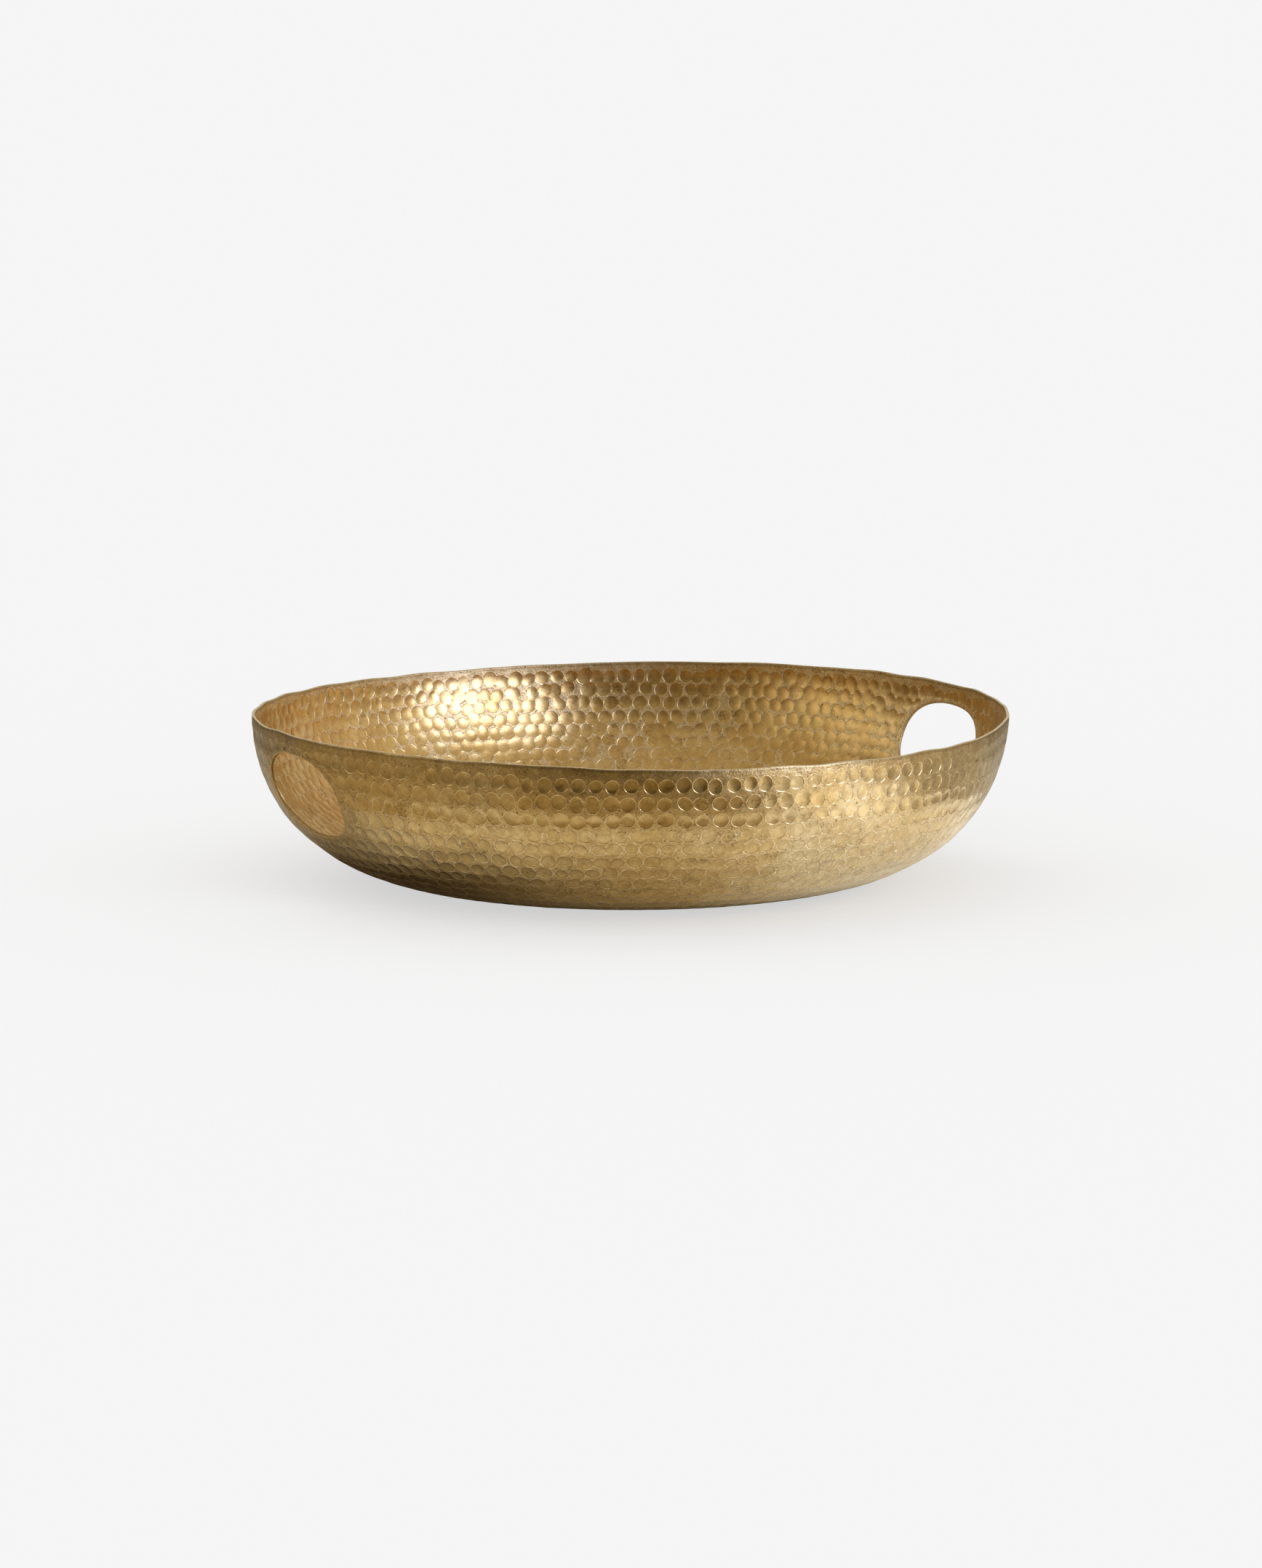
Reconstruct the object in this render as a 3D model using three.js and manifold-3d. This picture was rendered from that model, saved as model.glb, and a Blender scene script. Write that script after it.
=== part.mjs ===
// A round brass tray with a high wall, raised from one sheet of metal, with an oval hand hole cut
// through the wall on each side and four rubber pads stuck under its flat base.
// Millimetres, +Z up. The origin is on the axis of the tray, in the plane that the pads stand on,
// and the hand holes face along +X and -X.

import * as THREE from "three";
import { mergeVertices } from "three/addons/utils/BufferGeometryUtils.js";
import Module from "manifold-3d";

const wasm = await Module();
wasm.setup();

// The sheet and the bowl that it is raised into.
const RIM_RADIUS = 250;
const WALL_HEIGHT = 108;
const BASE_RADIUS = 135;
const SHEET_THICKNESS = 2;

// How far the wall keeps the direction of the base at its foot, and the direction of the rim at its top.
const FOOT_REACH = 56;
const RIM_REACH = 68;

// The hand holes: ovals, a little squarer than an ellipse, cut level through the wall. A strap of
// sheet is left between each hole and the rim, which is what the hand closes round.
const HOLE_WIDTH = 94;
const HOLE_HEIGHT = 52;
const HOLE_SQUARENESS = 2.3;
const RIM_STRAP = 11;

// The rubber pads, how far they stand in from the edge of the base, and their layer of adhesive.
const PAD_COUNT = 4;
const PAD_RADIUS = 14;
const PAD_THICKNESS = 1.5;
const PAD_INSET = 19;
const ADHESIVE_GAP = 0.3;

// How finely the round shapes are divided.
const TRAY_SEGMENTS = 88;
const WALL_STEPS = 12;
const HOLE_STEPS = 48;
const PAD_SEGMENTS = 32;

// How far a cutting tool reaches past the sheet.
const CUT_OVERRUN = 20;

const BASE_LEVEL = PAD_THICKNESS + ADHESIVE_GAP;
const RIM_LEVEL = BASE_LEVEL + WALL_HEIGHT;
const HOLE_LEVEL = RIM_LEVEL - RIM_STRAP - HOLE_HEIGHT / 2;
const PAD_CIRCLE_RADIUS = BASE_RADIUS - PAD_INSET - PAD_RADIUS;

const brass = new THREE.MeshStandardMaterial({ color: 0xa98445, roughness: 0.38, metalness: 1 });
const rubber = new THREE.MeshStandardMaterial({ color: 0x2a2724, roughness: 0.85, metalness: 0 });

// The outer face of the wall, from the edge of the base to the rim, as radius and height.
function wallCurve() {
  return new THREE.CubicBezierCurve(
    new THREE.Vector2(BASE_RADIUS, BASE_LEVEL),
    new THREE.Vector2(BASE_RADIUS + FOOT_REACH, BASE_LEVEL),
    new THREE.Vector2(RIM_RADIUS, RIM_LEVEL - RIM_REACH),
    new THREE.Vector2(RIM_RADIUS, RIM_LEVEL),
  );
}

// The section of the sheet: out along the underside, up the wall, over the rim and back inside.
function sheetProfile() {
  const curve = wallCurve();
  const outside = [];
  const inside = [];
  for (let step = 0; step <= WALL_STEPS; step++) {
    const share = step / WALL_STEPS;
    const point = curve.getPoint(share);
    const along = curve.getTangent(share);
    const inward = new THREE.Vector2(-along.y, along.x);
    outside.push(point);
    inside.unshift(point.clone().addScaledVector(inward, SHEET_THICKNESS));
  }
  const bottomCentre = new THREE.Vector2(0, BASE_LEVEL);
  const floorCentre = new THREE.Vector2(0, BASE_LEVEL + SHEET_THICKNESS);
  return [bottomCentre, ...outside, ...inside, floorCentre];
}

// A closed geometry as a solid that can be cut.
function solidOf(geometry) {
  const bare = geometry.clone();
  bare.deleteAttribute("normal");
  bare.deleteAttribute("uv");
  const merged = mergeVertices(bare, 1e-4);
  return new wasm.Manifold(
    new wasm.Mesh({
      numProp: 3,
      vertProperties: merged.attributes.position.array,
      triVerts: new Uint32Array(merged.index.array),
    }),
  );
}

function geometryOf(solid) {
  const mesh = solid.getMesh();
  const geometry = new THREE.BufferGeometry();
  geometry.setAttribute("position", new THREE.BufferAttribute(mesh.vertProperties, mesh.numProp));
  geometry.setIndex(new THREE.BufferAttribute(mesh.triVerts, 1));
  const flat = geometry.toNonIndexed();
  flat.computeVertexNormals();
  return flat;
}

// A lathe turns about Y, so what it makes is stood up to turn about Z.
function stoodUp(geometry) {
  return geometry.rotateX(Math.PI / 2);
}

// One coordinate of an oval: a half size times a cosine or sine drawn towards its ends.
function ovalReach(halfSize, wave) {
  return halfSize * Math.sign(wave) * Math.abs(wave) ** (2 / HOLE_SQUARENESS);
}

function holeOutline() {
  const points = [];
  for (let step = 0; step < HOLE_STEPS; step++) {
    const angle = (2 * Math.PI * step) / HOLE_STEPS;
    const across = ovalReach(HOLE_WIDTH / 2, Math.cos(angle));
    const up = ovalReach(HOLE_HEIGHT / 2, Math.sin(angle));
    points.push(new THREE.Vector2(across, up));
  }
  return new THREE.Shape(points);
}

// The tool that cuts one hand hole: it reaches from the middle of the tray out past the rim.
function holeCutter(side) {
  const cutter = new THREE.ExtrudeGeometry(holeOutline(), {
    depth: RIM_RADIUS + CUT_OVERRUN,
    steps: 1,
    bevelEnabled: false,
  });
  cutter.rotateX(Math.PI / 2);
  cutter.rotateZ((side * Math.PI) / 2);
  cutter.translate(0, 0, HOLE_LEVEL);
  return solidOf(cutter);
}

function trayShell() {
  let sheet = solidOf(stoodUp(new THREE.LatheGeometry(sheetProfile(), TRAY_SEGMENTS)));
  for (const side of [-1, 1]) {
    sheet = sheet.subtract(holeCutter(side));
  }
  const mesh = new THREE.Mesh(geometryOf(sheet), brass);
  mesh.name = "tray_shell";
  return mesh;
}

// A round pad, standing on the ground plane under the base.
function basePad(index) {
  const disc = new THREE.CylinderGeometry(PAD_RADIUS, PAD_RADIUS, PAD_THICKNESS, PAD_SEGMENTS);
  const mesh = new THREE.Mesh(stoodUp(disc), rubber);
  const angle = (2 * Math.PI * (index + 0.5)) / PAD_COUNT;
  mesh.position.set(
    PAD_CIRCLE_RADIUS * Math.cos(angle),
    PAD_CIRCLE_RADIUS * Math.sin(angle),
    PAD_THICKNESS / 2,
  );
  mesh.name = `base_pad_${index + 1}`;
  return mesh;
}

const tray = new THREE.Group();
tray.add(trayShell());
for (let index = 0; index < PAD_COUNT; index++) {
  tray.add(basePad(index));
}

export default tray;
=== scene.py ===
"""The looks of the hammered brass tray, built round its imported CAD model.

The tray's sheet is made again as one closed mesh that follows the CAD sheet's curve and carries
the hammer marks, the cut rim and the hand holes as real geometry. Everything is in metres.
"""
import math

import bmesh
import bpy
import numpy as np
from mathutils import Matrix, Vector


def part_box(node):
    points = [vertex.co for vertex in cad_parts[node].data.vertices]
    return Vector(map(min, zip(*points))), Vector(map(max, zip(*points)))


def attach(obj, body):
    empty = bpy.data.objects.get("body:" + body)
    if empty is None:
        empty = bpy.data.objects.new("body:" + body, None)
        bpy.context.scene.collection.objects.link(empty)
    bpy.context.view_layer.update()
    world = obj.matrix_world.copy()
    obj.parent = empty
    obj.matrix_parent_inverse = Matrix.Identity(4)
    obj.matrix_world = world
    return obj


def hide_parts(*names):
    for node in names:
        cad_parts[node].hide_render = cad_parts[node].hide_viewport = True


MM = 0.001
TAU = 2 * math.pi

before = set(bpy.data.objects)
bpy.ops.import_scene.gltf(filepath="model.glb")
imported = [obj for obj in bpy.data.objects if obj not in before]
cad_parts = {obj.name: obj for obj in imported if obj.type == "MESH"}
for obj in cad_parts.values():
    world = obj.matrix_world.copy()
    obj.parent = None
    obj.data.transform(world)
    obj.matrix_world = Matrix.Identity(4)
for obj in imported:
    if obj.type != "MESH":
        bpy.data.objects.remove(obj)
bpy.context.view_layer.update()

# The sheet, as the CAD model has it.
SHEET_LOW, SHEET_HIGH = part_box("tray_shell")
RIM_RADIUS = SHEET_HIGH.x
RIM_LEVEL = SHEET_HIGH.z
BASE_LEVEL = SHEET_LOW.z
WALL_HEIGHT = RIM_LEVEL - BASE_LEVEL
BASE_RADIUS = 135 * MM
SHEET_THICKNESS = 2 * MM
FOOT_REACH = 56 * MM
RIM_REACH = 68 * MM

# The hand holes. Each was cut by hand, so the two differ a little from each other.
HOLE_SQUARENESS = 2.3
HOLES = (
    {"side": -1, "turn": -0.5, "width": 94.5 * MM, "height": 54 * MM, "level": BASE_LEVEL + 69.2 * MM},
    {"side": 1, "turn": 0.0, "width": 93.5 * MM, "height": 50.5 * MM, "level": BASE_LEVEL + 69.9 * MM},
)
HOLE_RIPPLE = 0.012
HOLE_PLAIN_BAND = 1.6 * MM
HOLE_BAND_FADE = 1.6 * MM

# The hammer marks. Those outside are wider apart, flatter and crisper than those inside.
OUTSIDE_MARKS = {
    "seed": 11, "radius": 5.0 * MM, "depth": 0.50 * MM, "softness": 0.8,
    "row_pitch": 11.9 * MM, "gap": 10.9 * MM, "first_row": 11.0 * MM, "wander": 1.1 * MM,
    "jitter": 0.55 * MM, "staggered": False,
}
INSIDE_MARKS = {
    "seed": 23, "radius": 4.9 * MM, "depth": 0.38 * MM, "softness": 0.8,
    "row_pitch": 9.5 * MM, "gap": 9.7 * MM, "first_row": 9.5 * MM, "wander": 1.1 * MM,
    "jitter": 0.75 * MM, "staggered": True,
}
MAP_STEP = 0.5 * MM
MAP_MARGIN = 4 * MM
MARK_REACH = 3 * MM
RIM_CLEARANCE = 3 * MM
ROW_DRIFT = 0.45
ODD_GAPS = 0.06
STAGGER = 0.35
EVENING = 0.25
# How deep the lowest marks outside are, as a share of the upper ones, and how lopsided a mark gets.
FAINT_SHARE = 0.75
SKEW = 0.6

# How the hand-made sheet strays from the true shape.
RIM_SADDLE = 2.2 * MM
RIM_SADDLE_TURN = math.radians(9)
RIM_WAVE = 0.17 * MM
RIM_WAVE_REACH = 12 * MM
RIM_SWAY = 0.5 * MM
SHEET_SWELL = 0.28 * MM
LAND_SWELL = 0.05 * MM

# The mesh.
COLUMNS = 1440
RING_STEP = 1.1 * MM
FEWEST_COLUMNS = 45
CLOSEST_COLUMNS = 0.62 * RING_STEP
CURVE_SAMPLES = 600
EDGE_STEPS = 4
EDGE_BULGE = 0.3 * MM

# The view: the camera stands this far round from the -Y side, this high and this far off.
VIEW_AZIMUTH = math.radians(-28.86)
VIEW_ELEVATION = math.radians(8.68)
VIEW_DISTANCE = 5.5
VIEW_TARGET_RIGHT = 0.6 * MM
VIEW_TARGET_LEVEL = BASE_LEVEL + 60.3 * MM
VIEW_LENS = 190.6
VIEW_SENSOR = 36.0


# ---------------------------------------------------------------- the sheet's curve

def smoothstep(low, high, x):
    """0 below low, 1 above high, and a smooth rise between."""
    t = np.clip((x - low) / (high - low), 0, 1)
    return t * t * (3 - 2 * t)


class SheetCurve:
    """The outer face's section, by its length s from the axis: radius, height and outward normal."""

    def __init__(self):
        t = np.linspace(0, 1, CURVE_SAMPLES)[:, None]
        corners = np.array([
            [BASE_RADIUS, BASE_LEVEL],
            [BASE_RADIUS + FOOT_REACH, BASE_LEVEL],
            [RIM_RADIUS, RIM_LEVEL - RIM_REACH],
            [RIM_RADIUS, RIM_LEVEL],
        ])
        shares = np.hstack([(1 - t) ** 3, 3 * (1 - t) ** 2 * t, 3 * (1 - t) * t ** 2, t ** 3])
        points = np.vstack([[0, BASE_LEVEL], shares @ corners])
        steps = np.linalg.norm(np.diff(points, axis=0), axis=1)
        self.s = np.concatenate([[0], np.cumsum(steps)])
        self.r = points[:, 0]
        self.z = points[:, 1]
        along = np.gradient(points, self.s, axis=0)
        along /= np.linalg.norm(along, axis=1)[:, None]
        along[0] = (1, 0)
        self.out_r = along[:, 1]
        self.out_z = -along[:, 0]
        self.length = self.s[-1]

    def radius(self, s):
        return np.interp(s, self.s, self.r)

    def height(self, s):
        return np.interp(s, self.s, self.z)

    def normal(self, s):
        return np.interp(s, self.s, self.out_r), np.interp(s, self.s, self.out_z)


CURVE = SheetCurve()


# ---------------------------------------------------------------- the hand holes

def ripple(angle, seed, size):
    """A small irregular change of radius round a closed outline."""
    rng = np.random.default_rng(seed)
    total = np.zeros_like(angle)
    for wave in range(2, 9):
        total += rng.normal() * np.sin(wave * angle + rng.uniform(0, TAU)) / wave
    return size * total


def hole_measure(hole, s, angle):
    """Below 1 inside the hand hole, 1 on its outline and above 1 outside it."""
    angle = angle - math.radians(hole["turn"])
    facing = np.cos(angle) * hole["side"] > 0.5
    across = CURVE.radius(s) * np.sin(angle) / (hole["width"] / 2)
    up = (CURVE.height(s) - hole["level"]) / (hole["height"] / 2)
    n = HOLE_SQUARENESS
    measure = (np.abs(across) ** n + np.abs(up) ** n) ** (1 / n)
    measure = measure / (1 + ripple(np.arctan2(up, across), 40 + hole["side"], HOLE_RIPPLE))
    return np.where(facing, measure, 10.0)


# ---------------------------------------------------------------- the hammer marks

def wrapped(angle):
    return (angle + math.pi) % TAU - math.pi


def staggered(row, row_before, gap):
    """A row of marks, each moved towards a gap between the marks of the row before."""
    for _ in range(4):
        nearest = row_before[np.abs(wrapped(row_before[None] - row[:, None])).argmin(1)]
        away = wrapped(row - nearest)
        row = row + STAGGER * np.clip(gap / 2 - np.abs(away), 0, None) * np.where(away < 0, -1, 1)
        left, right = np.roll(row, 1), np.roll(row, -1)
        row = row + EVENING * wrapped(left + wrapped(right - left) / 2 - row)
    return row


def mark_centres(marks):
    """Rows of marks from the rim to the middle: each one's place, size, squash, lean and skew."""
    rng = np.random.default_rng(marks["seed"])
    centres = []
    waves = [
        (k, rng.normal() * marks["wander"] / math.sqrt(k), rng.uniform(0, TAU))
        for k in (2, 3, 5, 9, 14)
    ]
    row_s = CURVE.length - marks["first_row"]
    row_before = None
    while row_s > marks["row_pitch"] * 0.6:
        radius = max(float(CURVE.radius(row_s)), 1 * MM)
        gap = marks["gap"] / radius
        waves = [(k, size, start + rng.normal() * ROW_DRIFT) for k, size, start in waves]
        gaps = gap * rng.uniform(0.88, 1.16, int(TAU / gap) + 8)
        odd = rng.random(len(gaps)) < ODD_GAPS
        gaps[odd] *= rng.uniform(0.75, 1.3, odd.sum())
        row = np.cumsum(gaps)
        row = row[row < TAU - gap / 2] + rng.uniform(0, TAU)
        if marks["staggered"] and row_before is not None and len(row) > 8:
            row = staggered(row, row_before, gap)
        row_before = row
        for angle in row:
            sway = sum(size * math.sin(k * angle + start) for k, size, start in waves)
            centres.append((
                row_s + sway * min(1.0, radius / BASE_RADIUS) + rng.normal() * marks["jitter"],
                angle,
                marks["radius"] * rng.uniform(0.86, 1.1),
                marks["depth"] * rng.uniform(0.7, 1.15),
                rng.uniform(-0.12, 0.12),
                rng.uniform(0, math.pi),
                rng.uniform(-SKEW, SKEW),
            ))
        row_s -= marks["row_pitch"] * rng.uniform(0.93, 1.07)
    return centres


def hammer_map(marks):
    """A square map of the whole sheet, flattened round the axis: how deep each point is struck, and
    how far it is outside the nearest mark's edge, which is less than 0 inside the mark."""
    reach = CURVE.length + MAP_MARGIN
    size = int(2 * reach / MAP_STEP) + 1
    axis = np.linspace(-reach, reach, size)
    depth = np.zeros((size, size), np.float32)
    outside = np.full((size, size), MARK_REACH, np.float32)
    for s, angle, radius, deep, squash, lean, skew in mark_centres(marks):
        if s > CURVE.length - RIM_CLEARANCE:
            continue
        x, y = s * math.cos(angle), s * math.sin(angle)
        stretch = s / max(float(CURVE.radius(s)), 1e-6) if s > BASE_RADIUS else 1.0
        span = (radius + MARK_REACH) * max(stretch, 1.0)
        i0, i1 = np.searchsorted(axis, (x - span, x + span))
        j0, j1 = np.searchsorted(axis, (y - span, y + span))
        dx = axis[i0:i1, None] - x
        dy = axis[None, j0:j1] - y
        along = dx * math.cos(angle) + dy * math.sin(angle)
        round_about = (dy * math.cos(angle) - dx * math.sin(angle)) / stretch
        a = along * math.cos(lean) + round_about * math.sin(lean)
        b = round_about * math.cos(lean) - along * math.sin(lean)
        q = np.sqrt((a * (1 + squash)) ** 2 + (b * (1 - squash)) ** 2) / radius
        cap = deep * np.clip(1 - q * q, 0, None) ** marks["softness"] * (1 + skew * a / radius)
        window = np.s_[i0:i1, j0:j1]
        depth[window] = np.maximum(depth[window], cap)
        outside[window] = np.minimum(outside[window], (q - 1) * radius)
    return axis, depth, outside


def sample(axis, grid, x, y):
    """The map's value at each point, drawn smoothly between its four nearest cells."""
    step = axis[1] - axis[0]
    u = (x - axis[0]) / step
    v = (y - axis[0]) / step
    i = np.clip(u.astype(int), 0, len(axis) - 2)
    j = np.clip(v.astype(int), 0, len(axis) - 2)
    fu, fv = u - i, v - j
    near = grid[i, j] * (1 - fv) + grid[i, j + 1] * fv
    far = grid[i + 1, j] * (1 - fv) + grid[i + 1, j + 1] * fv
    return near * (1 - fu) + far * fu


# ---------------------------------------------------------------- the mesh of the sheet

def ring_layout():
    """The rings of the mesh from the rim to the middle: the s of each and its number of columns,
    which is halved where they would come too close."""
    rings = []
    columns = COLUMNS
    count = int(CURVE.length / RING_STEP)
    for k in range(count):
        s = CURVE.length * (1 - k / count)
        apart = TAU * float(CURVE.radius(s)) / columns
        if apart < CLOSEST_COLUMNS and columns > FEWEST_COLUMNS:
            columns //= 2
        rings.append((s, columns))
    return rings


def snap_to_hole(hole, s, angle, rows):
    """Moves the mesh points nearest a hole's outline onto it. Returns 1 outside the hole, 0 on its
    outline and -1 inside it."""
    s_grid = s[:rows * COLUMNS].reshape(rows, COLUMNS)
    a_grid = angle[:rows * COLUMNS].reshape(rows, COLUMNS)
    f = hole_measure(hole, s_grid, a_grid) - 1
    best = np.full(f.shape, np.inf)
    new_s, new_a = s_grid.copy(), a_grid.copy()
    for axis in (0, 1):
        g = np.roll(f, -1, axis)
        crossing = (f * g < 0) & (np.abs(f) < 1) & (np.abs(g) < 1)
        if axis == 0:
            crossing[-1] = False
        share = np.where(crossing, f / np.where(crossing, f - g, 1), np.inf)
        ds = np.roll(s_grid, -1, axis) - s_grid
        da = wrapped(np.roll(a_grid, -1, axis) - a_grid)
        for first in (True, False):
            mine = crossing & ((share <= 0.5) if first else (share > 0.5))
            move = np.where(mine, share if first else 1 - share, np.inf)
            sign = share if first else -(1 - share)
            step_s, step_a = ds * np.where(mine, sign, 0), da * np.where(mine, sign, 0)
            if not first:
                move, step_s, step_a = (np.roll(x, 1, axis) for x in (move, step_s, step_a))
            better = move < best
            best = np.where(better, move, best)
            new_s = np.where(better, s_grid + step_s, new_s)
            new_a = np.where(better, a_grid + step_a, new_a)
    state = np.where(np.isfinite(best), 0, np.sign(f)).astype(int)
    s[:rows * COLUMNS] = new_s.ravel()
    angle[:rows * COLUMNS] = new_a.ravel()
    return state.ravel()


def sheet_faces(rings, starts, state):
    """The quads and triangles of one side of the sheet, seen from inside, without the holes."""
    quads, triangles = [], []
    for k in range(len(rings) - 1):
        n, m = rings[k][1], rings[k + 1][1]
        j = np.arange(m)
        inner, inner_next = starts[k + 1] + j, starts[k + 1] + (j + 1) % m
        if n == m:
            outer, outer_next = starts[k] + j, starts[k] + (j + 1) % n
            quads.append(np.stack([outer, outer_next, inner_next, inner], 1))
        else:
            a, b, c = (starts[k] + (2 * j + i) % n for i in range(3))
            triangles.append(np.stack([a, b, inner], 1))
            triangles.append(np.stack([b, inner_next, inner], 1))
            triangles.append(np.stack([b, c, inner_next], 1))
    last = rings[-1][1]
    j = np.arange(last)
    middle = np.full(last, starts[-1] + last)
    triangles.append(np.stack([starts[-1] + j, starts[-1] + (j + 1) % last, middle], 1))
    quads, triangles = np.concatenate(quads), np.concatenate(triangles)
    q = state[quads]
    whole = (q >= 0).all(1) & (q > 0).any(1)
    for first in (0, 1):
        split = (q[:, first] == 0) & (q[:, first + 2] == 0) & ~whole
        for tip in (first + 1, (first + 3) % 4):
            keep = split & (q[:, tip] > 0)
            corners = [(tip - 1) % 4, tip, (tip + 1) % 4]
            triangles = np.concatenate([triangles, quads[keep][:, corners]])
    return quads[whole], triangles


def open_edges(quads, triangles):
    """The directed edges with a face on one side only: the rim and the outlines of the holes."""
    directed = np.concatenate(
        [quads[:, [i, (i + 1) % 4]] for i in range(4)]
        + [triangles[:, [i, (i + 1) % 3]] for i in range(3)]
    ).astype(np.int64)
    width = directed.max() + 1
    there = directed[:, 0] * width + directed[:, 1]
    back = directed[:, 1] * width + directed[:, 0]
    return directed[~np.isin(there, back)]


def wave_sum(points, seed, shortest, longest, count):
    """A smooth random field of about unit size over points, from plane waves of those lengths."""
    rng = np.random.default_rng(seed)
    total = np.zeros(len(points))
    for _ in range(count):
        direction = rng.normal(size=points.shape[1])
        direction /= np.linalg.norm(direction)
        length = rng.uniform(shortest, longest)
        total += np.sin(points @ direction * (TAU / length) + rng.uniform(0, TAU))
    return total * math.sqrt(2 / count)


def rim_shape(angle):
    """How far the rim strays at each angle: up, in small waves up, and outwards."""
    rng = np.random.default_rng(5)
    up = RIM_SADDLE * np.cos(2 * (angle - RIM_SADDLE_TURN))
    waves = np.zeros_like(angle)
    out = np.zeros_like(angle)
    for k in range(3, 44):
        wave = RIM_WAVE * rng.normal() / (1 + k / 14) * np.sin(k * angle + rng.uniform(0, TAU))
        if k < 8:
            up += wave
        else:
            waves += wave
    for k in range(2, 26):
        out += RIM_SWAY * rng.normal() / k * np.sin(k * angle + rng.uniform(0, TAU))
    return up, waves, out


def hammered_share(s, angle):
    """1 where the sheet is hammered, fading to 0 in the plain band round each hand hole."""
    share = np.ones(len(s))
    for hole in HOLES:
        distance = (hole_measure(hole, s, angle) - 1) * hole["height"] / 2
        clear = smoothstep(HOLE_PLAIN_BAND, HOLE_PLAIN_BAND + HOLE_BAND_FADE, distance)
        share = np.minimum(share, clear)
    return share


def handmade_stray(s, angle, face, outward, rise):
    """How far each point of the hand-made sheet lies from the true shape."""
    swell = SHEET_SWELL * wave_sum(face, 3, 35 * MM, 90 * MM, 14)
    rim_up, rim_waves, rim_out = rim_shape(angle)
    sideways = np.stack([np.cos(angle), np.sin(angle), np.zeros_like(s)], 1)
    stray = sideways * (rim_out * rise ** 3)[:, None]
    stray[:, 2] += rim_up * rise ** 2 + rim_waves * np.exp((s - CURVE.length) / RIM_WAVE_REACH)
    return stray + outward * (swell * smoothstep(0, 0.3, rise))[:, None]


def make_sheet():
    """The whole sheet as one closed mesh, with what its material needs to know at each point."""
    rings = ring_layout()
    counts = np.array([n for _, n in rings])
    starts = np.concatenate([[0], np.cumsum(counts)[:-1]])
    s = np.concatenate([np.full(n, ring_s) for ring_s, n in rings] + [[0.0]])
    angle = np.concatenate([TAU * np.arange(n) / n for _, n in rings] + [[0.0]])
    wall_rows = int((counts == COLUMNS).sum())
    state = np.ones(len(s), int)
    for hole in HOLES:
        state[:wall_rows * COLUMNS] = np.minimum(
            state[:wall_rows * COLUMNS], snap_to_hole(hole, s, angle, wall_rows)
        )
    quads, triangles = sheet_faces(rings, starts, state)
    border = open_edges(quads, triangles)

    radius, height = CURVE.radius(s), CURVE.height(s)
    out_r, out_z = CURVE.normal(s)
    outward = np.stack([out_r * np.cos(angle), out_r * np.sin(angle), out_z], 1)
    face = np.stack([radius * np.cos(angle), radius * np.sin(angle), height], 1)

    hammered = hammered_share(s, angle)
    map_x, map_y = s * np.cos(angle), s * np.sin(angle)
    rise = (height - BASE_LEVEL) / WALL_HEIGHT
    stray = handmade_stray(s, angle, face, outward, rise)

    sides = []
    for marks, inner in ((OUTSIDE_MARKS, False), (INSIDE_MARKS, True)):
        axis, depth, outside = hammer_map(marks)
        struck = sample(axis, depth, map_x, map_y) * hammered
        edge = sample(axis, outside, map_x, map_y) + (1 - hammered) * MARK_REACH
        grain = LAND_SWELL * wave_sum(face, marks["seed"] + 1, 5 * MM, 11 * MM, 16)
        grain = grain * smoothstep(-1 * MM, 1 * MM, edge)
        if inner:
            offset = struck + grain - SHEET_THICKNESS
        else:
            offset = grain - struck * (FAINT_SHARE + (1 - FAINT_SHARE) * smoothstep(0.15, 0.5, rise))
        sides.append((face + stray + outward * offset[:, None], edge / MM))

    return join_sheet(sides, quads, triangles, border, CURVE.length - s)


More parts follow.
